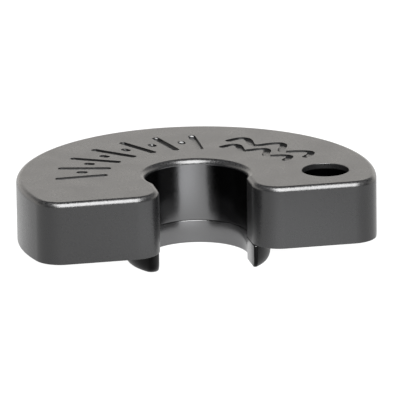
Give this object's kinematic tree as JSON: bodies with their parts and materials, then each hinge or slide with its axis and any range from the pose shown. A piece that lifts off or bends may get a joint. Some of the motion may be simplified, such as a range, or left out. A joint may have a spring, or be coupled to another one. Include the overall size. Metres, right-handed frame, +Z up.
{
  "type": "vibration dampener",
  "caption": "C-shaped slip-on vibration dampener: a flat rounded block with an open bore, a cord hole through an arm, an engraved top and a split spigot ring under the bore.",
  "frame": {"origin": "under the middle of the object's box, on the plane of the spigot ring's end face that it stands on", "axes": "+Z up along the bore, from the spigot ring to the engraved top; the open side of the C and the flat front faces point to -Y; the cord hole is in the +X arm. The bore axis is at x 0, y -5.75 mm"},
  "size_m": [0.038, 0.0264, 0.0092],
  "materials": {
    "body_anodised": "black anodised, fine satin",
    "ring_anodised": "black anodised, turned satin"
  },
  "bodies": {
    "root": {"body": "body_anodised", "spigot_ring": "ring_anodised"}
  },
  "joints": []
}
